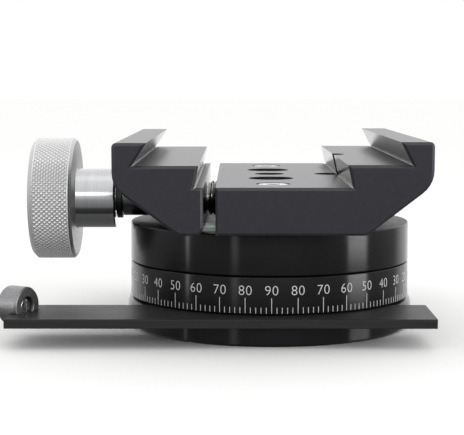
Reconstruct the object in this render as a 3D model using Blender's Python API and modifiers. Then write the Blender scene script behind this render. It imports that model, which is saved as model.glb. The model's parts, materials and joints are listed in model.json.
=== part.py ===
"""Two-step dovetail clamp on a graduated pan head, with its base bar.

Blender 4.5 script. Units are metres, +Z is up. The origin is on the pan axis,
at the centre of the base flange's underside. +X points from the knob across
the clamp, and +Y runs along the dovetail.
"""
import math

import bmesh
import bpy
from mathutils import Matrix, Vector

MM = 0.001
GAP = 0.3 * MM                      # clearance between neighbouring pieces
INCH = 25.4 * MM

# Pan head, heights above the underside of the base flange
FLANGE_RADIUS = 44.7 * MM
FLANGE_TOP = 8.8 * MM
FLANGE_RIM = 0.8 * MM
BAR_SLOT_FLOOR = 6.0 * MM            # the bar is let into the flange from above
NECK_RADIUS = 23.4 * MM
NECK_TOP = 9.0 * MM
RING_RADIUS = 43.6 * MM
RING_BORE = 30.3 * MM
RING_BOTTOM = 9.3 * MM
RING_TOP = 20.05 * MM
TABLE_RADIUS = 43.6 * MM
TABLE_TOP = 32.2 * MM
HUB_RADIUS = 30.0 * MM
HUB_BOTTOM = 10.6 * MM
TABLE_RECESS_RADIUS = 12.3 * MM
TABLE_RECESS_FLOOR = 24.0 * MM
PIVOT_RADIUS = 5.0 * MM
PIVOT_TIP = 2.8 * MM
PIVOT_HEAD_RADIUS = 6.5 * MM
PIVOT_HEAD_BOTTOM = 25.9 * MM
PIVOT_HEAD_TOP = 31.0 * MM
O_RING_HEIGHT = 15.5 * MM
O_RING_SECTION = 0.85 * MM

# Base bar and the barrel in its left end
BAR_LEFT = -76.0 * MM
BAR_RIGHT = 46.3 * MM
BAR_FRONT = -49.3 * MM
BAR_BACK = -24.4 * MM
BAR_TOP = 9.0 * MM
BAR_SCREW_PLACES = {"left": -22.0 * MM, "right": 22.0 * MM}
BAR_SCREW_Y = -34.0 * MM
BARREL_RADIUS = 5.65 * MM
BARREL_LENGTH = 7.0 * MM
BARREL_FACE = Vector((-71.0 * MM, -37.0 * MM, 10.65 * MM))
BARREL_TURN = math.radians(-30)     # its mouth is turned from +X towards the front

# Dovetail clamp, heights above CLAMP_BOTTOM
CLAMP_BOTTOM = 33.5 * MM
CLAMP_LENGTH = 4.5 * INCH
FLOOR = 13.2 * MM                   # seat of the narrow bar
STEP = 19.4 * MM                    # seat of the wide bar
LIP = 25.65 * MM
JAW_DROP = 0.25 * MM                # the jaw's step and lip stand this much lower
# Undercut walls of the two seats, as (foot X, top X, foot Z, top Z)
BODY_WALLS = ((21.4 * MM, 20.05 * MM, FLOOR, STEP), (37.6 * MM, 34.4 * MM, STEP, LIP))
JAW_WALLS = ((-21.95 * MM, -20.8 * MM, FLOOR, STEP - JAW_DROP),
             (-39.0 * MM, -35.0 * MM, STEP - JAW_DROP, LIP - JAW_DROP))
BODY_INNER = -16.15 * MM
BODY_OUTER = 43.6 * MM
JAW_INNER = -19.5 * MM
JAW_OUTER = -44.5 * MM
PAD_RADIUS = 28.0 * MM
HOLE_RADIUS = 4.7 * MM
SIDE_HOLE_X = 18.9 * MM
MOUNT_SCREW_Y = 19.4 * MM
STRIP_SCREW_Y = 42.0 * MM
END_CHAMFER = 0.75 * MM

# Clamping screw, knob and bush, all on one axis along X
AXIS_Z = CLAMP_BOTTOM + 5.6 * MM
SHANK_RADIUS = 4.0 * MM
THREAD_RADIUS = 5.5 * MM
THREAD_BORE = THREAD_RADIUS + GAP
THREAD_SHOULDER = JAW_INNER + GAP
SCREW_TIP = -5.5 * MM
KNOB_RADIUS = 18.95 * MM
KNOB_OUTER = -73.85 * MM
KNOB_INNER = -60.5 * MM
KNOB_OUTER_RIM = 1.4 * MM
KNOB_INNER_RIM = 0.9 * MM
KNOB_HUB_RADIUS = 9.33 * MM
KNOB_HUB_END = -48.15 * MM
WASHER_RADIUS = 6.3 * MM
WASHER_INNER = -46.1 * MM
BUSH_RADIUS = 5.5 * MM
BUSH_END = -29.3 * MM
SET_SCREW_X = -54.3 * MM
SET_SCREW_RADIUS = 2.0 * MM

LARGE = 64                          # steps round the pan head's rings
MEDIUM = 32
SMALL = 20

ALONG_X = (0.0, math.pi / 2, 0.0)   # turns a part made on Z to lie on X
ALONG_Y = (math.pi / 2, 0.0, 0.0)   # stands an outline up, its thickness on Y


def clear_scene():
    for item in list(bpy.data.objects):
        bpy.data.objects.remove(item, do_unlink=True)


def new_collection(name):
    collection = bpy.data.collections.new(name)
    bpy.context.scene.collection.children.link(collection)
    return collection


clear_scene()
PARTS = new_collection("dovetail_clamp_pan_head")
CUTTERS = new_collection("cutters")


def material(name, colour, roughness, metallic):
    made = bpy.data.materials.new(name)
    made.use_nodes = True
    shader = made.node_tree.nodes["Principled BSDF"]
    shader.inputs["Base Color"].default_value = (*colour, 1.0)
    shader.inputs["Roughness"].default_value = roughness
    shader.inputs["Metallic"].default_value = metallic
    made.diffuse_color = (*colour, 1.0)
    return made


LOOKS = {
    "black_anodised": ((0.055, 0.052, 0.060), 0.38, 0.6),
    "gloss_black": ((0.012, 0.012, 0.013), 0.22, 0.6),
    "brushed_black": ((0.045, 0.046, 0.048), 0.34, 0.7),
    "grey_satin": ((0.17, 0.17, 0.175), 0.38, 0.7),
    "bare_aluminium": ((0.68, 0.69, 0.69), 0.32, 1.0),
    "bright_steel": ((0.60, 0.60, 0.58), 0.24, 1.0),
    "dark_steel": ((0.10, 0.11, 0.11), 0.35, 0.9),
    "black_oxide": ((0.03, 0.03, 0.03), 0.45, 0.7),
    "white_polymer": ((0.75, 0.75, 0.72), 0.50, 0.0),
    "black_rubber": ((0.02, 0.02, 0.02), 0.80, 0.0),
}


def finish_object(item, look):
    """Give a sub-part its own material and put it in the parts collection."""
    made = material(item.name, *LOOKS[look])
    item.data.materials.clear()
    item.data.materials.append(made)
    PARTS.objects.link(item)
    return item


def empty(name, place, parent=None):
    item = bpy.data.objects.new(name, None)
    item.empty_display_size = 0.01
    item.location = place
    PARTS.objects.link(item)
    if parent is not None:
        attach(item, parent)
    return item


def attach(item, parent):
    """Parent an item that was placed in world space, without moving it."""
    item.parent = parent
    bpy.context.view_layer.update()
    item.matrix_parent_inverse = parent.matrix_world.inverted()


def revolve(name, profile, steps, closed=False):
    """Turn a profile of (radius, height) points round Z with a Screw modifier."""
    mesh = bpy.data.meshes.new(name)
    edges = [(i, i + 1) for i in range(len(profile) - 1)]
    if closed:
        edges.append((len(profile) - 1, 0))
    mesh.from_pydata([(r, 0.0, h) for r, h in profile], edges, [])
    item = bpy.data.objects.new(name, mesh)
    screw = item.modifiers.new("turn", "SCREW")
    screw.steps = steps
    screw.render_steps = steps
    screw.use_merge_vertices = True
    screw.merge_threshold = 0.00001
    screw.use_smooth_shade = False
    return item


def turned(name, look, profile, steps, place=(0, 0, 0), turn=(0, 0, 0), closed=False):
    item = revolve(name, profile, steps, closed)
    item.location = place
    item.rotation_euler = turn
    return finish_object(item, look)


def rod_cutter(name, radius, start, end, steps=SMALL):
    """A plain cylinder between two points, for cutting a hole."""
    start = Vector(start)
    end = Vector(end)
    span = end - start
    mesh = bpy.data.meshes.new(name)
    bm = bmesh.new()
    bmesh.ops.create_cone(bm, cap_ends=True, segments=steps, radius1=radius,
                          radius2=radius, depth=span.length)
    bm.to_mesh(mesh)
    bm.free()
    item = bpy.data.objects.new(name, mesh)
    item.rotation_euler = span.to_track_quat("Z", "Y").to_euler()
    item.location = (start + end) / 2
    return as_cutter(item)


def box_cutter(name, low, high):
    low = Vector(low)
    high = Vector(high)
    mesh = bpy.data.meshes.new(name)
    bm = bmesh.new()
    bmesh.ops.create_cube(bm, size=1.0)
    bmesh.ops.scale(bm, vec=high - low, verts=bm.verts)
    bmesh.ops.translate(bm, vec=(low + high) / 2, verts=bm.verts)
    bm.to_mesh(mesh)
    bm.free()
    return as_cutter(bpy.data.objects.new(name, mesh))


def as_cutter(item):
    item.hide_render = True
    item.display_type = "WIRE"
    CUTTERS.objects.link(item)
    return item


def boolean(item, other, operation="DIFFERENCE"):
    step = item.modifiers.new(other.name, "BOOLEAN")
    step.operation = operation
    step.solver = "EXACT"
    step.object = other


def rounded_outline(corners, arc_step=math.radians(12)):
    """Points of a closed outline whose (x, z, radius) corners are rounded by arcs."""
    points = []
    count = len(corners)
    for index, (x, z, radius) in enumerate(corners):
        corner = Vector((x, z))
        if radius <= 0:
            points.append(corner)
            continue
        before = (Vector(corners[index - 1][:2]) - corner).normalized()
        after = (Vector(corners[(index + 1) % count][:2]) - corner).normalized()
        half = before.angle(after) / 2
        centre = corner + (before + after).normalized() * radius / math.sin(half)
        first = corner + before * radius / math.tan(half) - centre
        sweep = (corner + after * radius / math.tan(half) - centre).angle_signed(first)
        pieces = max(2, math.ceil(abs(sweep) / arc_step))
        for piece in range(pieces + 1):
            points.append(centre + Matrix.Rotation(sweep * piece / pieces, 2) @ first)
    return points


def extruded(name, outline, length, chamfer=0.0):
    """A prism along Y from an outline in X and Z, its two ends chamfered all round."""
    curve = bpy.data.curves.new(name + "_outline", "CURVE")
    curve.dimensions = "2D"
    curve.fill_mode = "BOTH"
    curve.extrude = length / 2 - chamfer
    curve.bevel_depth = chamfer
    curve.bevel_resolution = 0
    curve.offset = -chamfer
    spline = curve.splines.new("POLY")
    spline.points.add(len(outline) - 1)
    for point, (x, z) in zip(spline.points, outline):
        point.co = (x, z, 0.0, 1.0)
    spline.use_cyclic_u = True
    source = bpy.data.objects.new(name + "_outline", curve)
    source.rotation_euler = ALONG_Y
    bpy.context.scene.collection.objects.link(source)
    bpy.context.view_layer.update()
    evaluated = source.evaluated_get(bpy.context.evaluated_depsgraph_get())
    mesh = bpy.data.meshes.new_from_object(evaluated)
    mesh.name = name
    bm = bmesh.new()
    bm.from_mesh(mesh)
    bmesh.ops.remove_doubles(bm, verts=bm.verts, dist=0.000001)
    caps = [face for face in bm.faces if abs(face.normal.z) > 0.9]
    inside = [edge for edge in bm.edges if all(face in caps for face in edge.link_faces)]
    bmesh.ops.dissolve_edges(bm, edges=inside, use_verts=False)
    bmesh.ops.recalc_face_normals(bm, faces=bm.faces)
    bm.to_mesh(mesh)
    bm.free()
    item = bpy.data.objects.new(name, mesh)
    item.matrix_world = source.matrix_world
    bpy.data.objects.remove(source, do_unlink=True)
    return item


def wall_corners(walls):
    corners = []
    for foot, top, low, high in walls:
        corners += [(foot, low, 0), (top, high, 0)]
    return corners


def cut_reliefs(item, walls):
    """Run a shallow V groove along the foot of each undercut wall."""
    for level, (foot, top, low, high) in zip(("narrow", "wide"), walls):
        side = math.copysign(1.0, foot)
        lean = (top - foot) / (high - low)
        root = Vector((foot + side * 0.30 * MM, CLAMP_BOTTOM + low - 0.40 * MM))
        on_seat = Vector((foot - side * 0.50 * MM, CLAMP_BOTTOM + low))
        on_wall = Vector((foot + lean * 0.15 * MM, CLAMP_BOTTOM + low + 0.15 * MM))
        boolean(item, as_cutter(extruded(
            item.name + "_relief_" + level,
            [root, root + 2 * (on_seat - root), root + 2 * (on_wall - root)],
            CLAMP_LENGTH + 4 * MM)))


def raised(corners):
    return [(x, z + CLAMP_BOTTOM, radius) for x, z, radius in corners]


def hex_socket(name, radius, start, end):
    return rod_cutter(name, radius, start, end, steps=6)


# ---------------------------------------------------------------- base, fixed
def make_base():
    flange = turned("base_flange", "gloss_black", [
        (0, 2.5 * MM), (PIVOT_RADIUS + GAP, 2.5 * MM), (PIVOT_RADIUS + GAP, NECK_TOP),
        (NECK_RADIUS, NECK_TOP), (NECK_RADIUS, FLANGE_TOP),
        (FLANGE_RADIUS - 2 * FLANGE_RIM, FLANGE_TOP),
        (FLANGE_RADIUS - 0.6 * FLANGE_RIM, FLANGE_TOP - 0.6 * FLANGE_RIM),
        (FLANGE_RADIUS, FLANGE_TOP - 2 * FLANGE_RIM), (FLANGE_RADIUS, FLANGE_RIM),
        (FLANGE_RADIUS - FLANGE_RIM, 0), (0, 0)], LARGE)
    boolean(flange, box_cutter("bar_slot", (-60 * MM, -60 * MM, BAR_SLOT_FLOOR),
                               (60 * MM, BAR_BACK + GAP, 12 * MM)))

    bar = extruded("base_bar", [
        (BAR_LEFT, BAR_SLOT_FLOOR + GAP), (BAR_RIGHT, BAR_SLOT_FLOOR + GAP),
        (BAR_RIGHT, BAR_TOP), (BAR_LEFT, BAR_TOP)], BAR_BACK - BAR_FRONT, 0.2 * MM)
    bar.location.y = (BAR_FRONT + BAR_BACK) / 2
    finish_object(bar, "brushed_black")

    for side, x in BAR_SCREW_PLACES.items():
        name = "bar_screw_" + side
        foot = (x, BAR_SCREW_Y)
        boolean(flange, rod_cutter(name + "_head_hole", 3.6 * MM, (*foot, -1 * MM), (*foot, 2.6 * MM)))
        boolean(flange, rod_cutter(name + "_hole", 1.9 * MM, (*foot, 2 * MM), (*foot, 7 * MM)))
        boolean(bar, rod_cutter(name + "_tapping", 1.9 * MM, (*foot, 5 * MM), (*foot, 8.4 * MM)))
        screw = turned(name, "dark_steel", [
            (0, 8.1 * MM), (1.6 * MM, 8.1 * MM), (1.6 * MM, 2.3 * MM), (3.2 * MM, 2.3 * MM),
            (3.2 * MM, 0.7 * MM), (2.9 * MM, 0.4 * MM), (0, 0.4 * MM)], SMALL, (*foot, 0))
        boolean(screw, hex_socket(name + "_socket", 1.5 * MM, (*foot, -1 * MM), (*foot, 1.6 * MM)))
    return bar


def make_barrel(bar):
    """A bored barrel let into the bar's left end, with a screw inside its mouth."""
    back = Matrix.Rotation(BARREL_TURN, 3, "Z") @ Vector((-1, 0, 0))
    turn = (-back).to_track_quat("Z", "Y").to_euler()
    boolean(bar, rod_cutter("barrel_notch", BARREL_RADIUS + GAP, BARREL_FACE - back * GAP,
                            BARREL_FACE + back * 14 * MM, MEDIUM))
    edge = 0.5 * MM
    turned("barrel_lug", "grey_satin", [
        (0, -3.9 * MM), (2.8 * MM, -3.9 * MM), (2.8 * MM, 0), (BARREL_RADIUS - edge, 0),
        (BARREL_RADIUS, -edge), (BARREL_RADIUS, edge - BARREL_LENGTH),
        (BARREL_RADIUS - edge, -BARREL_LENGTH), (0, -BARREL_LENGTH)], MEDIUM, BARREL_FACE, turn)
    screw = turned("barrel_screw", "bright_steel", [
        (0, -0.7 * MM), (2.0 * MM, -0.7 * MM), (2.4 * MM, -1.1 * MM), (2.4 * MM, -3.6 * MM),
        (0, -3.6 * MM)], SMALL, BARREL_FACE, turn)
    slot = box_cutter("barrel_screw_slot", (-0.4 * MM, -4 * MM, -1.6 * MM), (0.4 * MM, 4 * MM, 0))
    slot.location = BARREL_FACE
    slot.rotation_euler = turn
    boolean(screw, slot)


def make_pivot():
    bolt = turned("pivot_bolt", "dark_steel", [
        (0, PIVOT_HEAD_TOP), (PIVOT_HEAD_RADIUS - 0.6 * MM, PIVOT_HEAD_TOP),
        (PIVOT_HEAD_RADIUS, PIVOT_HEAD_TOP - 0.6 * MM), (PIVOT_HEAD_RADIUS, PIVOT_HEAD_BOTTOM),
        (PIVOT_RADIUS, PIVOT_HEAD_BOTTOM), (PIVOT_RADIUS, PIVOT_TIP), (0, PIVOT_TIP)], MEDIUM)
    boolean(bolt, hex_socket("pivot_bolt_socket", 3.2 * MM, (0, 0, PIVOT_HEAD_TOP - 3 * MM),
                             (0, 0, PIVOT_HEAD_TOP + 1 * MM)))
    inner = PIVOT_RADIUS + 0.4 * MM
    turned("disc_spring", "bright_steel", [
        (inner, 25.55 * MM), (11.9 * MM, 25.0 * MM), (11.9 * MM, 24.3 * MM),
        (inner, 24.85 * MM)], MEDIUM, closed=True)
    turned("thrust_washer", "white_polymer", [
        (inner, NECK_TOP + 1.3 * MM), (22 * MM, NECK_TOP + 1.3 * MM),
        (22 * MM, NECK_TOP + GAP), (inner, NECK_TOP + GAP)], MEDIUM, closed=True)


# ------------------------------------------------------- scale ring, slips on the hub
def make_scale_ring(parent):
    edge = 0.35 * MM
    ring = turned("scale_ring", "gloss_black", [
        (RING_BORE, RING_TOP), (RING_RADIUS - edge, RING_TOP), (RING_RADIUS, RING_TOP - edge),
        (RING_RADIUS, RING_BOTTOM + edge), (RING_RADIUS - edge, RING_BOTTOM),
        (RING_BORE, RING_BOTTOM)], LARGE, closed=True)
    attach(ring, parent)


# ----------------------------------------------------------- turntable and clamp body
def make_turntable(parent):
    edge = 0.5 * MM
    groove = 1.9 * MM
    deck = RING_TOP + GAP
    table = turned("turntable", "gloss_black", [
        (PIVOT_RADIUS + GAP, TABLE_RECESS_FLOOR), (TABLE_RECESS_RADIUS, TABLE_RECESS_FLOOR),
        (TABLE_RECESS_RADIUS, TABLE_TOP), (TABLE_RADIUS - edge, TABLE_TOP),
        (TABLE_RADIUS, TABLE_TOP - edge), (TABLE_RADIUS, deck + edge),
        (TABLE_RADIUS - edge, deck), (HUB_RADIUS, deck),
        (HUB_RADIUS, O_RING_HEIGHT + 1.2 * MM), (HUB_RADIUS - groove, O_RING_HEIGHT + 1.2 * MM),
        (HUB_RADIUS - groove, O_RING_HEIGHT - 1.2 * MM), (HUB_RADIUS, O_RING_HEIGHT - 1.2 * MM),
        (HUB_RADIUS, HUB_BOTTOM), (PIVOT_RADIUS + GAP, HUB_BOTTOM)], LARGE, closed=True)
    attach(table, parent)

    centre = HUB_RADIUS - 0.8 * MM
    section = []
    for step in range(8):
        angle = math.tau * step / 8
        section.append((centre + O_RING_SECTION * math.sin(angle),
                        O_RING_HEIGHT + O_RING_SECTION * math.cos(angle)))
    attach(turned("ring_o_ring", "black_rubber", section, MEDIUM, closed=True), parent)
    return table


def make_clamp_body(parent, table):
    slope_foot = (26.6 * MM, 0.9 * MM)
    corners = [
        (BODY_INNER, 0, 0), (slope_foot[0] - 1.2 * MM, 0, 2.5 * MM), (BODY_OUTER, 14.0 * MM, 8 * MM),
        (BODY_OUTER, LIP, 1.3 * MM)]
    corners += reversed(wall_corners(BODY_WALLS))
    corners += [(BODY_INNER, FLOOR, 0)]
    body = extruded("clamp_body", rounded_outline(raised(corners)), CLAMP_LENGTH, END_CHAMFER)
    cut_reliefs(body, BODY_WALLS)
    lift = CLAMP_BOTTOM

    pad = rod_cutter("clamp_pad", PAD_RADIUS, (0, 0, TABLE_TOP + GAP), (0, 0, lift + 2 * MM), LARGE)
    boolean(body, pad, "UNION")
    boolean(body, box_cutter("pad_trim", (-40 * MM, -40 * MM, TABLE_TOP - 1 * MM),
                             (BODY_INNER, 40 * MM, lift + 5 * MM)))
    boolean(body, rod_cutter("centre_hole", HOLE_RADIUS, (0, 0, TABLE_TOP),
                             (0, 0, lift + FLOOR + 1 * MM)))
    boolean(body, rod_cutter("side_hole", HOLE_RADIUS, (SIDE_HOLE_X, 0, TABLE_TOP),
                             (SIDE_HOLE_X, 0, lift + STEP + 1 * MM), MEDIUM))
    boolean(body, rod_cutter("screw_hole", THREAD_BORE, (BODY_INNER - 1 * MM, 0, AXIS_Z),
                             (-2 * MM, 0, AXIS_Z)))
    finish_object(body, "black_anodised")
    attach(body, parent)

    for end, y in (("front", -1), ("rear", 1)):
        make_mount_screw(end, y * MOUNT_SCREW_Y, body, table, parent)
        make_guide_strip(end, y * STRIP_SCREW_Y, body, parent)


def make_mount_screw(end, y, body, table, parent):
    """Cap screw that holds the clamp body down on the turntable."""
    name = "mount_screw_" + end
    seat = CLAMP_BOTTOM + 4 * MM
    top = CLAMP_BOTTOM + FLOOR
    boolean(body, rod_cutter(name + "_counterbore", 6.75 * MM, (0, y, seat), (0, y, top + 1 * MM), MEDIUM))
    boolean(body, rod_cutter(name + "_hole", 3.3 * MM, (0, y, TABLE_TOP - 1 * MM), (0, y, seat + 1 * MM)))
    boolean(table, rod_cutter(name + "_tapping", 3.3 * MM, (0, y, TABLE_TOP - 9 * MM),
                              (0, y, TABLE_TOP + 1 * MM)))
    head = seat + GAP
    screw = turned(name, "black_oxide", [
        (0, head + 6 * MM), (4.5 * MM, head + 6 * MM), (5 * MM, head + 5.5 * MM), (5 * MM, head),
        (3 * MM, head), (3 * MM, TABLE_TOP - 8.6 * MM), (0, TABLE_TOP - 8.6 * MM)], SMALL, (0, y, 0))
    boolean(screw, hex_socket(name + "_socket", 2.9 * MM, (0, y, head + 3 * MM), (0, y, head + 7 * MM)))
    attach(screw, parent)


def make_guide_strip(end, y, body, parent):
    """Steel strip under the body that runs in a groove under the jaw, and its screw."""
    half = 6 * MM
    right = 6 * MM
    low = CLAMP_BOTTOM + 0.2 * MM
    high = CLAMP_BOTTOM + 1.6 * MM
    boolean(body, box_cutter("strip_recess_" + end,
                             (BODY_INNER - 5 * MM, y - half - GAP, CLAMP_BOTTOM - 1 * MM),
                             (right + GAP, y + half + GAP, high + GAP)))
    strip = extruded("guide_strip_" + end, [(-27.5 * MM, low), (right, low), (right, high),
                                            (-27.5 * MM, high)], 2 * half)
    strip.location.y = y
    boolean(strip, rod_cutter("strip_tapping_" + end, 2.5 * MM, (0, y, low - 1 * MM), (0, y, high + 1 * MM)))
    finish_object(strip, "bright_steel")
    attach(strip, parent)

    name = "strip_screw_" + end
    top = CLAMP_BOTTOM + FLOOR
    boolean(body, rod_cutter(name + "_counterbore", 4.85 * MM, (0, y, top - 3.4 * MM), (0, y, top + 1 * MM)))
    boolean(body, rod_cutter(name + "_hole", 2.5 * MM, (0, y, CLAMP_BOTTOM), (0, y, top - 3 * MM)))
    screw = turned(name, "bright_steel", [
        (0, top - 0.1 * MM), (4.15 * MM, top - 0.1 * MM), (4.5 * MM, top - 0.45 * MM),
        (4.5 * MM, top - 3.1 * MM), (2.2 * MM, top - 3.1 * MM), (2.2 * MM, low + 0.2 * MM),
        (0, low + 0.2 * MM)], SMALL, (0, y, 0))
    boolean(screw, hex_socket(name + "_socket", 2.2 * MM, (0, y, top - 2 * MM), (0, y, top + 1 * MM)))
    attach(screw, parent)


# ----------------------------------------------------------------- jaw, slides on X
def make_jaw(parent):
    corners = [(JAW_INNER, 0, 2.3 * MM), (JAW_INNER, FLOOR, 0)]
    corners += wall_corners(JAW_WALLS)
    corners += [
        (JAW_OUTER, LIP - JAW_DROP, 1.3 * MM), (JAW_OUTER, 13.2 * MM, 8 * MM),
        (-26.4 * MM, 0, 2.5 * MM)]
    jaw = extruded("clamp_jaw", rounded_outline(raised(corners)), CLAMP_LENGTH, END_CHAMFER)
    cut_reliefs(jaw, JAW_WALLS)
    lift = CLAMP_BOTTOM
    boolean(jaw, rod_cutter("bush_bore", BUSH_RADIUS + GAP, (JAW_OUTER - 1 * MM, 0, AXIS_Z),
                            (BUSH_END + GAP, 0, AXIS_Z)))
    boolean(jaw, rod_cutter("shank_bore", SHANK_RADIUS + GAP, (-30 * MM, 0, AXIS_Z),
                            (JAW_INNER + 1 * MM, 0, AXIS_Z)))
    for end, y in (("front", -STRIP_SCREW_Y), ("rear", STRIP_SCREW_Y)):
        boolean(jaw, box_cutter("strip_groove_" + end, (-40 * MM, y - 6.3 * MM, lift - 1 * MM),
                                (JAW_INNER + 5 * MM, y + 6.3 * MM, lift + 1.9 * MM)))
    finish_object(jaw, "black_anodised")
    attach(jaw, parent)

    bush = turned("spacer_bush", "dark_steel", [
        (SHANK_RADIUS + GAP, BUSH_END), (BUSH_RADIUS, BUSH_END),
        (BUSH_RADIUS, WASHER_INNER + GAP), (SHANK_RADIUS + GAP, WASHER_INNER + GAP)],
        SMALL, (0, 0, AXIS_Z), ALONG_X, closed=True)
    attach(bush, parent)


# ------------------------------------------------- clamping screw and knob, turn on X
def make_knob(parent):
    axis = (0, 0, AXIS_Z)
    attach(turned("clamp_screw", "bright_steel", [
        (0, SCREW_TIP), (THREAD_RADIUS - 0.8 * MM, SCREW_TIP), (THREAD_RADIUS, SCREW_TIP - 0.8 * MM),
        (THREAD_RADIUS, THREAD_SHOULDER), (SHANK_RADIUS, THREAD_SHOULDER),
        (SHANK_RADIUS, -70.7 * MM), (0, -70.7 * MM)], SMALL, axis, ALONG_X), parent)

    bore = SHANK_RADIUS + GAP
    knob = turned("knob", "bare_aluminium", [
        (0, -71 * MM), (bore, -71 * MM), (bore, KNOB_HUB_END),
        (KNOB_HUB_RADIUS - 0.6 * MM, KNOB_HUB_END), (KNOB_HUB_RADIUS, KNOB_HUB_END - 0.6 * MM),
        (KNOB_HUB_RADIUS, KNOB_INNER), (KNOB_RADIUS - KNOB_INNER_RIM, KNOB_INNER),
        (KNOB_RADIUS, KNOB_INNER - KNOB_INNER_RIM), (KNOB_RADIUS, KNOB_OUTER + KNOB_OUTER_RIM),
        (KNOB_RADIUS - KNOB_OUTER_RIM, KNOB_OUTER), (0, KNOB_OUTER)],
        LARGE, axis, ALONG_X)
    boolean(knob, rod_cutter("set_screw_hole", SET_SCREW_RADIUS + GAP,
                             (SET_SCREW_X, 0, AXIS_Z - 12 * MM), (SET_SCREW_X, 0, AXIS_Z - 2 * MM)))
    attach(knob, parent)

    top = -bore
    bottom = -KNOB_HUB_RADIUS + 0.6 * MM
    set_screw = turned("knob_set_screw", "black_oxide", [
        (0, top), (SET_SCREW_RADIUS - 0.4 * MM, top), (SET_SCREW_RADIUS, top - 0.4 * MM),
        (SET_SCREW_RADIUS, bottom), (0, bottom)], SMALL, (SET_SCREW_X, 0, AXIS_Z))
    boolean(set_screw, hex_socket("set_screw_socket", 1.15 * MM,
                                  (SET_SCREW_X, 0, AXIS_Z + bottom - 1 * MM),
                                  (SET_SCREW_X, 0, AXIS_Z + bottom + 1.5 * MM)))
    attach(set_screw, parent)

    attach(turned("knob_washer", "black_oxide", [
        (bore, WASHER_INNER), (WASHER_RADIUS, WASHER_INNER), (WASHER_RADIUS, KNOB_HUB_END + GAP),
        (bore, KNOB_HUB_END + GAP)], SMALL, axis, ALONG_X, closed=True), parent)


pan_axis = empty("pan_axis", (0, 0, 0))
ring_axis = empty("ring_axis", (0, 0, RING_BOTTOM), pan_axis)
jaw_slide = empty("jaw_slide", (JAW_INNER, 0, AXIS_Z), pan_axis)
knob_axis = empty("knob_axis", (KNOB_INNER, 0, AXIS_Z), jaw_slide)

make_barrel(make_base())
make_pivot()
make_scale_ring(ring_axis)
make_clamp_body(pan_axis, make_turntable(pan_axis))
make_jaw(jaw_slide)
make_knob(knob_axis)

for part in PARTS.objects:
    if part.type == "MESH":
        part.data.shade_smooth()
        part.data.set_sharp_from_angle(angle=math.radians(30))
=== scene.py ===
"""The looks of the two-step dovetail clamp on its graduated pan head.

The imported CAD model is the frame: every piece here is made from a CAD node's own mesh or box,
and rides on that node's body. Units are metres, in the CAD model's frame.
"""
import json
import math

import bmesh
import bpy
from mathutils import Matrix, Vector

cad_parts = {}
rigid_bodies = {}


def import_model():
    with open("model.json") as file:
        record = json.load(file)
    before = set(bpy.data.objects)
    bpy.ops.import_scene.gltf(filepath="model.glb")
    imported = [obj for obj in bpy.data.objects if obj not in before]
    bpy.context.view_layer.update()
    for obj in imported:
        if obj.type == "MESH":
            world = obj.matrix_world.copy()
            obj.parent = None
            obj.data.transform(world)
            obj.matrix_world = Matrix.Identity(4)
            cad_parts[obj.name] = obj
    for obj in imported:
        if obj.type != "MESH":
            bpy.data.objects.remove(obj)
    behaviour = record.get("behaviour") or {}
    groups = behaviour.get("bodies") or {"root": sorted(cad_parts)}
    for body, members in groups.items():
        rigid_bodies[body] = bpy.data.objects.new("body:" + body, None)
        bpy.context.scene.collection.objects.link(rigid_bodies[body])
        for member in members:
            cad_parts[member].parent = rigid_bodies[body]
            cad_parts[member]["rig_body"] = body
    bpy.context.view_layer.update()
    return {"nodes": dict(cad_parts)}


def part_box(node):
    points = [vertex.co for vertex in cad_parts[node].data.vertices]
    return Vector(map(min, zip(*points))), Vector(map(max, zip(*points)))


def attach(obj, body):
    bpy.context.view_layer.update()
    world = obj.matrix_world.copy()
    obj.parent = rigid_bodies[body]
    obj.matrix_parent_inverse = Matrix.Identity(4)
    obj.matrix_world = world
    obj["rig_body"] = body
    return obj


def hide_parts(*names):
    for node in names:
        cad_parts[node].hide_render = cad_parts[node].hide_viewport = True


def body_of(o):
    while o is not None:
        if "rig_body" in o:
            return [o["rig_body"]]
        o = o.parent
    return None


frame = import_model()
NODES = frame["nodes"]
BODY_OF = {node: body_of(item)[0] for node, item in NODES.items()}

MM = 0.001

# Turntable and scale ring
RING_STEPS = 256                 # steps round each of them
TURNTABLE_MOUTH = 12.3 * MM      # radius of the recess for the pivot bolt's head
MOUTH_DEPTH = 8.0 * MM
PIVOT_BORE = 5.3 * MM
RING_SEAT = 30.0 * MM            # radius of the turntable's hub, which the scale ring turns on
RING_BORE = 30.3 * MM
RING_GAP = 0.3 * MM

# Scale
INLAY_DEPTH = 0.10 * MM          # how far the scale's marks reach into the ring
INLAY_PROUD = 0.02 * MM
TICK_WIDTH = 0.21 * MM
TICK_FOOT = 0.35 * MM            # heights above the ring's lower edge
SHORT_TICK_TOP = 2.05 * MM
LONG_TICK_TOP = 4.75 * MM
DIGIT_FOOT = 5.6 * MM
DIGIT_HEIGHT = 2.95 * MM
CAPITAL_SHARE = 0.73             # height of a figure over the font's size
SCALE_START = -0.46              # degrees the ring is turned from square

# Clamping screw
THREAD_PITCH = 1.27 * MM
THREAD_ROOT = 4.75 * MM          # its crests reach the CAD solid's radius
THREAD_START = -19.1 * MM
THREAD_SAMPLES = 14              # stations in one pitch
THREAD_FLAT = 1.2                # above 1 the crests are flat
SHANK_RADIUS = 4.0 * MM
SCREW_STEPS = 96

# Knob
KNOB_WIDTH = 13.35 * MM
OUTER_RIM = 1.4 * MM
INNER_RIM = 0.9 * MM
HUB_RADIUS = 9.33 * MM
KNOB_BORE = 4.3 * MM
KNOB_BORE_DEPTH = 12.0 * MM
KNURL_COUNT = 86                 # diamonds round the knob
KNURL_DEPTH = 0.40 * MM
KNURL_ROWS = 7
KNURL_FLAT = 1.35                # above 1 the diamonds' tops are flat
KNURL_FADE = 28                  # the grooves run out over one part in this many of the width

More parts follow.
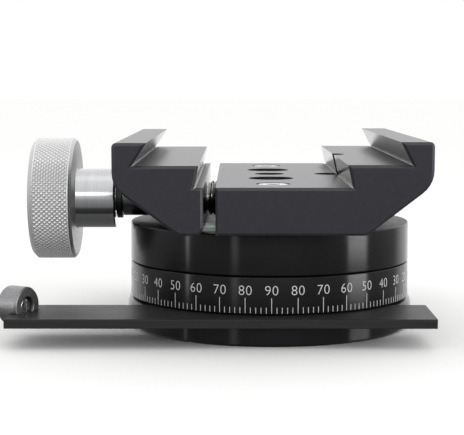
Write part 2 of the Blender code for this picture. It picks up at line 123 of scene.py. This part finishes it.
# Which faces of the clamp have a finish of their own
FULL_LENGTH = 40.0 * MM          # only faces longer than this
RELIEF_WIDTHS = (0.55 * MM, 0.95 * MM)
WALL_REACH = 40.0 * MM           # undercut walls and the gap lie this near the middle
WALL_BOTTOM = 36.0 * MM

# A Mix node's sockets for colours
MIX_A = 6
MIX_B = 7
MIX_RESULT = 2


# ------------------------------------------------------------------ camera and studio
CAMERA_PLACE = Vector((-10.8, -415.5, 74.8)) * MM
LOOK_SLOPE = (-0.0023, 1.0, -0.1010)       # direction of the view's centre
LENS = 102.4
SENSOR = 36.0
# Light tent: (sine of the height angle, brightness), from straight down to straight up
FRONT_TENT = ((-1.0, 0.11), (-0.6, 0.19), (-0.08, 0.40), (0.18, 0.85), (0.6, 1.02), (1.0, 1.2))
BACK_TENT = ((-1.0, 0.11), (-0.5, 0.20), (-0.2, 0.90), (-0.1, 1.25), (0.1, 1.30), (0.4, 1.25), (1.0, 1.2))


def make_camera():
    data = bpy.data.cameras.new("camera")
    data.lens = LENS
    data.sensor_width = SENSOR
    data.sensor_fit = "HORIZONTAL"
    data.clip_start = 0.01
    data.clip_end = 20.0
    item = bpy.data.objects.new("camera", data)
    item.location = CAMERA_PLACE
    item.rotation_euler = Vector(LOOK_SLOPE).to_track_quat("-Z", "Y").to_euler()
    bpy.context.scene.collection.objects.link(item)
    bpy.context.scene.camera = item


def make_world():
    """White backdrop for the camera; a light tent, dark low down at the front, for the object."""
    world = bpy.data.worlds.new("light_tent")
    world.use_nodes = True
    nodes = world.node_tree.nodes
    links = world.node_tree.links
    nodes.clear()
    coords = nodes.new("ShaderNodeTexCoord")
    split = nodes.new("ShaderNodeSeparateXYZ")
    links.new(coords.outputs["Generated"], split.inputs[0])
    front = height_ramp(world.node_tree, split.outputs["Z"], FRONT_TENT)
    back = height_ramp(world.node_tree, split.outputs["Z"], BACK_TENT)
    side = nodes.new("ShaderNodeMapRange")
    side.interpolation_type = "SMOOTHSTEP"
    side.inputs["From Min"].default_value = 0.50
    side.inputs["From Max"].default_value = 0.72
    links.new(split.outputs["Y"], side.inputs["Value"])
    tent = nodes.new("ShaderNodeMix")
    tent.data_type = "RGBA"
    links.new(side.outputs["Result"], tent.inputs["Factor"])
    links.new(front, tent.inputs[MIX_A])
    links.new(back, tent.inputs[MIX_B])
    rays = nodes.new("ShaderNodeLightPath")
    seen = nodes.new("ShaderNodeMix")
    seen.data_type = "RGBA"
    seen.inputs[MIX_B].default_value = (1.0, 1.0, 1.0, 1.0)
    links.new(rays.outputs["Is Camera Ray"], seen.inputs["Factor"])
    links.new(tent.outputs[MIX_RESULT], seen.inputs[MIX_A])
    light = nodes.new("ShaderNodeBackground")
    links.new(seen.outputs[MIX_RESULT], light.inputs["Color"])
    out = nodes.new("ShaderNodeOutputWorld")
    links.new(light.outputs[0], out.inputs["Surface"])
    bpy.context.scene.world = world


def height_ramp(tree, height, stops):
    """Brightness of the tent by the sine of the height angle, from straight down to straight up."""
    shift = tree.nodes.new("ShaderNodeMapRange")
    shift.inputs["From Min"].default_value = -1.0
    tree.links.new(height, shift.inputs["Value"])
    ramp = tree.nodes.new("ShaderNodeValToRGB")
    elements = ramp.color_ramp.elements
    elements.remove(elements[0])
    elements[0].position = (stops[0][0] + 1.0) / 2.0
    elements[0].color = (stops[0][1], stops[0][1], stops[0][1], 1.0)
    for sine, level in stops[1:]:
        elements.new((sine + 1.0) / 2.0).color = (level, level, level, 1.0)
    tree.links.new(shift.outputs["Result"], ramp.inputs["Fac"])
    return ramp.outputs["Color"]


def area_light(name, place, target, size, power, colour=(1.0, 1.0, 1.0)):
    data = bpy.data.lights.new(name, "AREA")
    data.shape = "RECTANGLE"
    data.size, data.size_y = size
    data.energy = power
    data.color = colour
    item = bpy.data.objects.new(name, data)
    item.location = place
    item.rotation_euler = (Vector(target) - Vector(place)).to_track_quat("-Z", "Y").to_euler()
    bpy.context.scene.collection.objects.link(item)
    return item


def bearing(degrees, distance, height):
    """A place at a bearing from the front of the object, positive to its right."""
    angle = math.radians(degrees)
    return Vector((distance * math.sin(angle), -distance * math.cos(angle), height))


def make_lights():
    middle = (0, 0, 0.03)
    area_light("overhead", (0.0, -0.06, 0.75), middle, (0.9, 0.30), 0.15)
    area_light("front_band", bearing(-4, 0.9, 0.36), middle, (0.9, 0.18), 1.0)
    area_light("left_strip", bearing(-68, 0.6, 0.10), middle, (0.022, 0.35), 0.22)
    area_light("left_glow", bearing(-28, 0.8, 0.02), middle, (0.07, 0.35), 0.16)
    area_light("right_panel", bearing(72, 0.6, 0.10), middle, (0.20, 0.35), 1.9, (1.0, 0.97, 0.98))


def make_floor():
    mesh = bpy.data.meshes.new("floor")
    bm = bmesh.new()
    bmesh.ops.create_grid(bm, x_segments=1, y_segments=1, size=6.0)
    bm.to_mesh(mesh)
    bm.free()
    item = bpy.data.objects.new("floor", mesh)
    bpy.context.scene.collection.objects.link(item)
    made = bpy.data.materials.new("floor")
    made.use_nodes = True
    shader = made.node_tree.nodes["Principled BSDF"]
    shader.inputs["Base Color"].default_value = (0.90, 0.90, 0.89, 1.0)
    shader.inputs["Roughness"].default_value = 0.9
    shader.inputs["Specular IOR Level"].default_value = 0.1
    mesh.materials.append(made)
    item.visible_glossy = False


# ---------------------------------------------------------------------- materials
def principled(name, colour, roughness, metallic=0.0, specular=0.5, anisotropic=0.0):
    made = bpy.data.materials.new(name)
    made.use_nodes = True
    shader = made.node_tree.nodes["Principled BSDF"]
    shader.inputs["Base Color"].default_value = (*colour, 1.0)
    shader.inputs["Roughness"].default_value = roughness
    shader.inputs["Metallic"].default_value = metallic
    shader.inputs["Specular IOR Level"].default_value = specular
    shader.inputs["Anisotropic"].default_value = anisotropic
    return made


def grain(made, scale, stretch=(1, 1, 1), detail=3.0):
    """A noise node in the object's own metres, stretched along an axis where asked."""
    tree = made.node_tree
    coords = tree.nodes.new("ShaderNodeTexCoord")
    mapping = tree.nodes.new("ShaderNodeMapping")
    mapping.inputs["Scale"].default_value = stretch
    noise = tree.nodes.new("ShaderNodeTexNoise")
    noise.inputs["Scale"].default_value = scale
    noise.inputs["Detail"].default_value = detail
    tree.links.new(coords.outputs["Object"], mapping.inputs["Vector"])
    tree.links.new(mapping.outputs["Vector"], noise.inputs["Vector"])
    return noise.outputs["Fac"]


def from_axis(made, axis_z):
    """Distance from a line along X at one height, in metres."""
    tree = made.node_tree
    coords = tree.nodes.new("ShaderNodeTexCoord")
    mapping = tree.nodes.new("ShaderNodeMapping")
    mapping.inputs["Scale"].default_value = (0.0, 1.0, 1.0)
    mapping.inputs["Location"].default_value = (0.0, 0.0, -axis_z)
    tree.links.new(coords.outputs["Object"], mapping.inputs["Vector"])
    length = tree.nodes.new("ShaderNodeVectorMath")
    length.operation = "LENGTH"
    tree.links.new(mapping.outputs["Vector"], length.inputs[0])
    return length.outputs["Value"]


def rings(made, axis_z, per_metre):
    """Turning marks: fine bands by the distance from the axis."""
    noise = made.node_tree.nodes.new("ShaderNodeTexNoise")
    noise.noise_dimensions = "1D"
    noise.inputs["Scale"].default_value = per_metre
    noise.inputs["Detail"].default_value = 2.0
    made.node_tree.links.new(from_axis(made, axis_z), noise.inputs["W"])
    return noise.outputs["Fac"]


def vary(made, factor, socket, low, high):
    """Let a 0-1 pattern move a shader socket between two values."""
    tree = made.node_tree
    span = tree.nodes.new("ShaderNodeMapRange")
    span.inputs["From Min"].default_value = 0.3
    span.inputs["From Max"].default_value = 0.7
    span.inputs["To Min"].default_value = low
    span.inputs["To Max"].default_value = high
    tree.links.new(factor, span.inputs["Value"])
    tree.links.new(span.outputs["Result"], tree.nodes["Principled BSDF"].inputs[socket])


def tint(made, factor, dark, light):
    """Let a 0-1 pattern move the base colour between two colours."""
    tree = made.node_tree
    ramp = tree.nodes.new("ShaderNodeValToRGB")
    ramp.color_ramp.elements[0].position = 0.3
    ramp.color_ramp.elements[0].color = (*dark, 1.0)
    ramp.color_ramp.elements[1].position = 0.7
    ramp.color_ramp.elements[1].color = (*light, 1.0)
    tree.links.new(factor, ramp.inputs["Fac"])
    tree.links.new(ramp.outputs["Color"], tree.nodes["Principled BSDF"].inputs["Base Color"])


def bump(made, factor, height):
    tree = made.node_tree
    node = tree.nodes.new("ShaderNodeBump")
    node.inputs["Distance"].default_value = height
    node.inputs["Strength"].default_value = 1.0
    tree.links.new(factor, node.inputs["Height"])
    tree.links.new(node.outputs["Normal"], tree.nodes["Principled BSDF"].inputs["Normal"])


def satin_anodised():
    made = principled("satin_black_anodising", (0.0155, 0.0142, 0.0195), 0.33, specular=0.5)
    tint(made, grain(made, 900.0), (0.0130, 0.0120, 0.0172), (0.0172, 0.0158, 0.0218))
    vary(made, grain(made, 2600.0), "Roughness", 0.30, 0.36)
    bump(made, grain(made, 5200.0, detail=1.0), 0.006 * MM)
    return made


def smooth_anodised():
    made = principled("smooth_black_anodising", (0.016, 0.0145, 0.019), 0.16)
    tint(made, grain(made, 900.0), (0.014, 0.0127, 0.0168), (0.018, 0.0163, 0.0212))
    vary(made, grain(made, 2600.0), "Roughness", 0.12, 0.20)
    return made


def worn_edge():
    made = principled("anodised_edge", (0.028, 0.026, 0.032), 0.28)
    tint(made, grain(made, 700.0), (0.020, 0.0185, 0.0235), (0.042, 0.040, 0.046))
    vary(made, grain(made, 1800.0), "Roughness", 0.24, 0.34)
    return made


def cut_groove():
    made = principled("milled_relief", (0.70, 0.70, 0.68), 0.40, metallic=0.3)
    tint(made, grain(made, 500.0, (0.3, 1, 1)), (0.60, 0.60, 0.58), (0.80, 0.80, 0.78))
    vary(made, grain(made, 2200.0), "Roughness", 0.28, 0.42)
    return made


def gloss_turned(name="gloss_black_turned"):
    """Lathe marks run round Z, so what the surface mirrors is drawn out along Z."""
    made = principled(name, (0.005, 0.005, 0.005), 0.22, specular=0.26, anisotropic=0.95)
    around = made.node_tree.nodes.new("ShaderNodeTangent")
    around.direction_type = "RADIAL"
    around.axis = "Z"
    made.node_tree.links.new(around.outputs["Tangent"],
                             made.node_tree.nodes["Principled BSDF"].inputs["Tangent"])
    made.node_tree.nodes["Principled BSDF"].inputs["Anisotropic Rotation"].default_value = 0.25
    tint(made, grain(made, 220.0, (1, 1, 6)), (0.0040, 0.0040, 0.0042), (0.0065, 0.0063, 0.0063))
    vary(made, grain(made, 160.0, (1, 1, 22)), "Roughness", 0.18, 0.26)
    return made


def dull_face():
    """The turntable's flat faces, duller than its rim."""
    made = principled("faced_black_top", (0.005, 0.005, 0.005), 0.40, specular=0.12)
    tint(made, grain(made, 300.0), (0.0040, 0.0040, 0.0042), (0.0065, 0.0063, 0.0063))
    vary(made, grain(made, 400.0), "Roughness", 0.36, 0.44)
    return made


def brushed_black():
    made = principled("brushed_black_anodising", (0.016, 0.016, 0.017), 0.45, specular=0.3)
    lines = grain(made, 60.0, (1, 60, 60), detail=3.0)
    tint(made, lines, (0.011, 0.011, 0.0115), (0.021, 0.021, 0.022))
    vary(made, grain(made, 90.0, (1, 40, 40)), "Roughness", 0.38, 0.50)
    bump(made, lines, 0.010 * MM)
    return made


def bare_aluminium(axis_z):
    made = principled("turned_aluminium", (0.58, 0.59, 0.58), 0.42, metallic=0.85)
    lathe_marks = rings(made, axis_z, 2600.0)
    tint(made, lathe_marks, (0.54, 0.55, 0.545), (0.63, 0.64, 0.635))
    vary(made, rings(made, axis_z, 1400.0), "Roughness", 0.36, 0.50)
    bump(made, lathe_marks, 0.006 * MM)
    return made


def knurled_aluminium(axis_z, radius):
    """Bright base colour on the diamonds' tops, darker down in the grooves: painted shade in the grooves.
    """
    made = principled("knurled_aluminium", (0.60, 0.61, 0.60), 0.36, metallic=0.6)
    groove_shade = made.node_tree.nodes.new("ShaderNodeMapRange")
    groove_shade.inputs["From Min"].default_value = radius - KNURL_DEPTH
    groove_shade.inputs["From Max"].default_value = radius - 0.25 * KNURL_DEPTH
    groove_shade.inputs["To Min"].default_value = 0.3
    groove_shade.inputs["To Max"].default_value = 0.7
    made.node_tree.links.new(from_axis(made, axis_z), groove_shade.inputs["Value"])
    # painted shade: the base colour darkens towards the bottom of each groove
    tint(made, groove_shade.outputs["Result"], (0.36, 0.36, 0.36), (0.80, 0.81, 0.80))
    vary(made, grain(made, 2400.0), "Roughness", 0.28, 0.44)
    return made


def polished_aluminium():
    made = principled("polished_hub", (0.54, 0.55, 0.56), 0.16, metallic=1.0)
    marks = grain(made, 90.0, (50, 1, 1))
    tint(made, marks, (0.51, 0.52, 0.53), (0.58, 0.59, 0.60))
    vary(made, grain(made, 140.0, (30, 1, 1)), "Roughness", 0.12, 0.20)
    bump(made, marks, 0.003 * MM)
    return made


def steel(name, colour, roughness):
    made = principled(name, colour, roughness, metallic=1.0)
    dark = tuple(0.86 * part for part in colour)
    light = tuple(min(1.0, 1.10 * part) for part in colour)
    tint(made, grain(made, 1500.0), dark, light)
    vary(made, grain(made, 2400.0), "Roughness", roughness * 0.8, roughness * 1.3)
    bump(made, grain(made, 4000.0, detail=1.0), 0.003 * MM)
    return made


def polymer():
    made = principled("white_polymer", (0.72, 0.72, 0.69), 0.5)
    tint(made, grain(made, 600.0), (0.68, 0.68, 0.65), (0.76, 0.76, 0.73))
    bump(made, grain(made, 3000.0), 0.004 * MM)
    return made


def rubber():
    made = principled("black_rubber", (0.02, 0.02, 0.02), 0.8)
    tint(made, grain(made, 800.0), (0.015, 0.015, 0.015), (0.03, 0.03, 0.03))
    bump(made, grain(made, 2500.0), 0.01 * MM)
    return made


def scale_paint():
    made = principled("scale_filling", (0.54, 0.54, 0.52), 0.55)
    tint(made, grain(made, 1800.0), (0.46, 0.46, 0.44), (0.60, 0.60, 0.58))
    bump(made, grain(made, 5000.0), 0.004 * MM)
    return made


# ------------------------------------------------------------------ shape helpers
def add_piece(name, mesh, node, materials, body=None):
    item = bpy.data.objects.new(name, mesh)
    bpy.context.scene.collection.objects.link(item)
    for made in materials:
        mesh.materials.append(made)
    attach(item, body or BODY_OF[node])
    return item


def plain_mesh(node):
    """A CAD node's mesh as a new one, welded, its flat faces whole again."""
    source = NODES[node].data
    bm = bmesh.new()
    verts = [bm.verts.new(vert.co) for vert in source.vertices]
    for face in source.polygons:
        bm.faces.new([verts[index] for index in face.vertices])
    bmesh.ops.remove_doubles(bm, verts=bm.verts, dist=0.002 * MM)
    bmesh.ops.dissolve_limit(bm, angle_limit=math.radians(0.4), verts=bm.verts, edges=bm.edges,
                             use_dissolve_boundaries=False)
    bmesh.ops.recalc_face_normals(bm, faces=bm.faces)
    return bm


def refined(node, materials, width, segments=2, select=None):
    """A piece that stands for a CAD node: the same solid with its edges rounded off."""
    bm = plain_mesh(node)
    if select is not None:
        for face in bm.faces:
            face.material_index = select(face)
    mesh = bpy.data.meshes.new(node + "_finished")
    bm.to_mesh(mesh)
    bm.free()
    mesh.shade_smooth()
    mesh.set_sharp_from_angle(angle=math.radians(30))
    item = add_piece(node + "_finished", mesh, node, materials)
    edges = item.modifiers.new("edges", "BEVEL")
    edges.width = width
    edges.segments = segments
    edges.limit_method = "ANGLE"
    edges.angle_limit = math.radians(28)
    edges.harden_normals = True
    edges.use_clamp_overlap = True
    if len(materials) > 1:
        edges.material = 1
    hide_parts(node)
    return item


def softened(profile, arc_steps=4):
    """Round the corners of an open profile of (radius, height, rounding) points."""
    points = [Vector(profile[0][:2])]
    for before, here, after in zip(profile, profile[1:], profile[2:]):
        corner = Vector(here[:2])
        if here[2] <= 0:
            points.append(corner)
            continue
        back = (Vector(before[:2]) - corner).normalized()
        on = (Vector(after[:2]) - corner).normalized()
        half = back.angle(on) / 2
        centre = corner + (back + on).normalized() * here[2] / math.sin(half)
        first = corner + back * here[2] / math.tan(half) - centre
        sweep = (corner + on * here[2] / math.tan(half) - centre).angle_signed(first)
        for step in range(arc_steps + 1):
            points.append(centre + Matrix.Rotation(sweep * step / arc_steps, 2) @ first)
    points.append(Vector(profile[-1][:2]))
    return points


def revolved(stations, steps, closed=False):
    """A mesh turned round Z. A station is (radius, height), or (function of angle, height)."""
    bm = bmesh.new()
    loops = []
    for radius, height in stations:
        if not callable(radius) and radius < 1e-7:
            loops.append([bm.verts.new((0, 0, height))])
            continue
        loop = []
        for step in range(steps):
            angle = math.tau * step / steps
            size = radius(angle) if callable(radius) else radius
            loop.append(bm.verts.new((size * math.cos(angle), size * math.sin(angle), height)))
        loops.append(loop)
    pairs = list(zip(loops, loops[1:]))
    if closed:
        pairs.append((loops[-1], loops[0]))
    for first, second in pairs:
        for step in range(steps):
            following = (step + 1) % steps
            corners = [first[step % len(first)], first[following % len(first)],
                       second[following % len(second)], second[step % len(second)]]
            unique = list(dict.fromkeys(corners))
            if len(unique) > 2:
                bm.faces.new(unique)
    bmesh.ops.recalc_face_normals(bm, faces=bm.faces)
    return bm


def mesh_from(bm, name, sharp=30):
    mesh = bpy.data.meshes.new(name)
    bm.to_mesh(mesh)
    bm.free()
    mesh.shade_smooth()
    mesh.set_sharp_from_angle(angle=math.radians(sharp))
    return mesh


def triangle_wave(value):
    """0 at whole numbers, 1 half way between them."""
    return 1.0 - abs(2.0 * (value - math.floor(value)) - 1.0)


# ------------------------------------------------------------------------- pieces
def make_clamp():
    """Body and jaw: satin anodising, lighter broken edges, bright relief grooves."""
    metals = [satin_anodised(), worn_edge(), cut_groove(), smooth_anodised()]
    for node in ("clamp_body", "clamp_jaw"):
        refined(node, metals, 0.14 * MM, select=clamp_surface)


def clamp_surface(face):
    """Material of one face: 2 in a relief groove, 3 on an undercut wall or in the gap, else 0."""
    length = max(edge.calc_length() for edge in face.edges)
    if length < FULL_LENGTH:
        return 0
    if RELIEF_WIDTHS[0] < face.calc_area() / length < RELIEF_WIDTHS[1]:
        return 2
    middle = face.calc_center_median()
    upright = abs(face.normal.x) > 0.7 and face.normal.z < 0.02
    return 3 if upright and abs(middle.x) < WALL_REACH and middle.z > WALL_BOTTOM else 0


def make_turntable():
    low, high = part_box("turntable")
    ring_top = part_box("scale_ring")[1].z
    radius = high.x
    deck = ring_top + RING_GAP
    profile = softened([
        (TURNTABLE_MOUTH, high.z - MOUTH_DEPTH, 0), (TURNTABLE_MOUTH, high.z, 0.2 * MM),
        (radius, high.z, 0.45 * MM), (radius, deck, 0.4 * MM), (RING_SEAT, deck, 0),
        (RING_SEAT, low.z, 0.3 * MM), (PIVOT_BORE, low.z, 0),
        (PIVOT_BORE, high.z - MOUTH_DEPTH - 0.2 * MM, 0)])
    mesh = mesh_from(revolved([tuple(point) for point in profile], RING_STEPS, closed=True), "turntable")
    for face in mesh.polygons:
        face.material_index = 1 if face.normal.z > 0.9 else 0
    item = add_piece("turntable_finished", mesh, "turntable", [gloss_turned(), dull_face()])
    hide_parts("turntable")


def make_scale_ring():
    low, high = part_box("scale_ring")
    radius = high.x
    middle = (low.z + high.z) / 2
    profile = softened([
        (RING_BORE, middle, 0), (RING_BORE, high.z, 0.2 * MM), (radius, high.z, 0.3 * MM),
        (radius, low.z, 0.3 * MM), (RING_BORE, low.z, 0.2 * MM), (RING_BORE, middle - 0.1 * MM, 0)])
    mesh = mesh_from(revolved([tuple(point) for point in profile], RING_STEPS, closed=True), "scale_ring")
    item = add_piece("scale_ring_finished", mesh, "scale_ring", [gloss_turned("gloss_black_ring")])
    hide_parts("scale_ring")
    add_piece("scale_marks", scale_marks(radius, low.z), "scale_ring", [scale_paint()])


def scale_marks(radius, bottom):
    """Ticks every 2 degrees, longer ones and numbers every 10, counting 0-90-0 each half turn."""
    bm = bmesh.new()
    for degree in range(0, 360, 2):
        major = degree % 10 == 0
        top = bottom + (LONG_TICK_TOP if major else SHORT_TICK_TOP)
        add_tick(bm, math.radians(degree + SCALE_START), radius, bottom + TICK_FOOT, top)
    for degree in range(0, 360, 10):
        value = 90 - abs(degree % 180 - 90)
        add_number(bm, str(value), math.radians(degree + SCALE_START), radius, bottom + DIGIT_FOOT)
    return mesh_from(bm, "scale_marks")


def add_tick(bm, angle, radius, low, high):
    half = TICK_WIDTH / 2 / radius
    verts = []
    for size in (radius - INLAY_DEPTH, radius + INLAY_PROUD):
        for turn, height in ((-half, low), (half, low), (half, high), (-half, high)):
            where = angle + turn
            verts.append(bm.verts.new((size * math.cos(where), size * math.sin(where), height)))
    faces = [(0, 3, 2, 1), (4, 5, 6, 7), (0, 1, 5, 4), (1, 2, 6, 5), (2, 3, 7, 6), (3, 0, 4, 7)]
    for face in faces:
        bm.faces.new([verts[index] for index in face])


def add_number(bm, text, angle, radius, bottom):
    """A number in thin plain figures, wrapped round the ring."""
    curve = bpy.data.curves.new("number", "FONT")
    curve.body = text
    curve.align_x = "CENTER"
    curve.size = DIGIT_HEIGHT / CAPITAL_SHARE
    curve.space_character = 1.06
    curve.offset = -0.060 * MM
    curve.extrude = (INLAY_DEPTH + INLAY_PROUD) / 2
    curve.resolution_u = 4
    source = bpy.data.objects.new("number", curve)
    bpy.context.scene.collection.objects.link(source)
    bpy.context.view_layer.update()
    mesh = bpy.data.meshes.new_from_object(source.evaluated_get(bpy.context.evaluated_depsgraph_get()))
    bpy.data.objects.remove(source, do_unlink=True)
    middle = (INLAY_PROUD - INLAY_DEPTH) / 2
    for vert in mesh.vertices:
        size = radius + middle + vert.co.z
        where = angle + vert.co.x / radius
        vert.co = (size * math.cos(where), size * math.sin(where), bottom + vert.co.y)
    bm.from_mesh(mesh)
    bpy.data.meshes.remove(mesh)


def make_knob():
    """Knurled disc with turned faces and a polished hub, on one axis along X."""
    low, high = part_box("knob")
    axis_z = (low.z + high.z) / 2
    radius = high.z - axis_z
    outer, hub_end = low.x, high.x
    inner = outer + KNOB_WIDTH
    edge = 0.08 * MM
    face = softened([(0, outer, 0), (radius - OUTER_RIM, outer, 0.5 * MM),
                     (radius - edge, outer + OUTER_RIM - edge, 0)])
    back = softened([(radius - edge, inner - INNER_RIM + edge, 0), (radius - INNER_RIM, inner, 0.3 * MM),
                     (HUB_RADIUS, inner, 0.35 * MM), (HUB_RADIUS, hub_end, 0.5 * MM),
                     (KNOB_BORE, hub_end, 0.2 * MM), (KNOB_BORE, hub_end - KNOB_BORE_DEPTH, 0),
                     (0, hub_end - KNOB_BORE_DEPTH, 0)])
    stations = [tuple(point) for point in face]
    span = (inner - INNER_RIM) - (outer + OUTER_RIM)
    samples = KNURL_ROWS * 8
    for sample in range(samples + 1):
        share = sample / samples
        stations.append((knurl(radius, share), outer + OUTER_RIM + span * share))
    stations += [tuple(point) for point in back]
    bm = revolved(stations, KNURL_COUNT * 6)
    bm.transform(Matrix.Translation((0, 0, axis_z)) @ Matrix.Rotation(math.pi / 2, 4, "Y"))
    for item in bm.faces:
        middle = item.calc_center_median()
        away = math.hypot(middle.y, middle.z - axis_z)
        on_rim = (away > radius - KNURL_DEPTH - edge
                  and outer + OUTER_RIM < middle.x < inner - INNER_RIM)
        on_hub = middle.x > inner + 0.2 * MM
        item.material_index = 1 if on_rim else 2 if on_hub else 0
    mesh = mesh_from(bm, "knob", sharp=35)
    item = add_piece("knob_finished", mesh, "knob",
                     [bare_aluminium(axis_z), knurled_aluminium(axis_z, radius), polished_aluminium()])
    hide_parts("knob")


def knurl(radius, share):
    """Radius round the rim at one place across it: flat-topped diamonds between two groove sets."""
    def size(angle):
        turn = angle * KNURL_COUNT / math.tau
        across = share * KNURL_ROWS
        low_side = min(triangle_wave(turn + across), triangle_wave(turn - across))
        edge_fade = min(1.0, share * KNURL_FADE, (1 - share) * KNURL_FADE)
        return radius - KNURL_DEPTH * edge_fade * (1.0 - min(1.0, KNURL_FLAT * low_side))
    return size


def make_clamp_screw():
    """Clamping screw with a real right-hand thread, turned along X."""
    low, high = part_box("clamp_screw")
    axis_z = (low.z + high.z) / 2
    crest = high.z - axis_z - 0.02 * MM
    tip = high.x
    count = math.floor((tip - THREAD_START - 1.0 * MM) / THREAD_PITCH * THREAD_SAMPLES)
    stations = [(0, low.x), (SHANK_RADIUS - 0.3 * MM, low.x), (SHANK_RADIUS, low.x + 0.3 * MM),
                (SHANK_RADIUS, THREAD_START), (THREAD_ROOT, THREAD_START)]
    for sample in range(count + 1):
        along = THREAD_START + 0.05 * MM + sample * THREAD_PITCH / THREAD_SAMPLES
        stations.append((thread(along, THREAD_START, tip - 0.8 * MM, crest), along))
    stations += [(THREAD_ROOT - 0.5 * MM, tip), (0, tip)]
    bm = revolved(stations, SCREW_STEPS)
    bm.transform(Matrix.Translation((0, 0, axis_z)) @ Matrix.Rotation(math.pi / 2, 4, "Y"))
    mesh = mesh_from(bm, "clamp_screw", sharp=25)
    item = add_piece("clamp_screw_finished", mesh, "clamp_screw",
                     [steel("bright_screw_steel", (0.40, 0.39, 0.37), 0.15)])
    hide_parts("clamp_screw")


def thread(along, start, end, crest):
    def size(angle):
        # The lathe helper turns a part about Z before it is laid on X, so the angle runs backwards.
        wave = triangle_wave(along / THREAD_PITCH + angle / math.tau)
        fade = min(1.0, 2 * (along - start) / THREAD_PITCH, max(0.0, (end - along) / THREAD_PITCH + 1.0))
        return THREAD_ROOT + min(1.0, THREAD_FLAT * wave) * (crest - THREAD_ROOT) * max(0.0, fade)
    return size


def make_small_parts():
    """Everything else: the CAD solid with broken edges and its own metal."""
    bright = steel("bright_screw", (0.66, 0.66, 0.64), 0.24)
    lug = steel("grey_satin_lug", (0.30, 0.30, 0.31), 0.38)
    grey = steel("grey_steel", (0.13, 0.14, 0.14), 0.30)
    black = steel("black_oxide", (0.035, 0.035, 0.036), 0.38)
    strip = steel("strip_steel", (0.34, 0.42, 0.38), 0.20)
    gloss = gloss_turned("gloss_black_flange")
    brushed = brushed_black()
    plan = {
        "base_flange": ([gloss, worn_edge()], 0.25), "base_bar": ([brushed], 0.25),
        "bar_screw_left": ([grey], 0.12), "bar_screw_right": ([grey], 0.12),
        "barrel_lug": ([lug], 0.2), "barrel_screw": ([bright], 0.12),
        "pivot_bolt": ([grey], 0.2), "disc_spring": ([bright], 0.1),
        "thrust_washer": ([polymer()], 0.1), "ring_o_ring": ([rubber()], 0.02),
        "mount_screw_front": ([black], 0.15), "mount_screw_rear": ([black], 0.15),
        "guide_strip_front": ([strip], 0.12), "guide_strip_rear": ([strip], 0.12),
        "strip_screw_front": ([bright], 0.12), "strip_screw_rear": ([bright], 0.12),
        "spacer_bush": ([grey], 0.2), "knob_set_screw": ([black], 0.1), "knob_washer": ([black], 0.2),
    }
    for node, (metals, width) in plan.items():
        refined(node, metals, width * MM)


make_camera()
make_world()
make_lights()
make_floor()
make_clamp()
make_turntable()
make_scale_ring()
make_knob()
make_clamp_screw()
make_small_parts()

bpy.context.scene.view_settings.view_transform = "Standard"
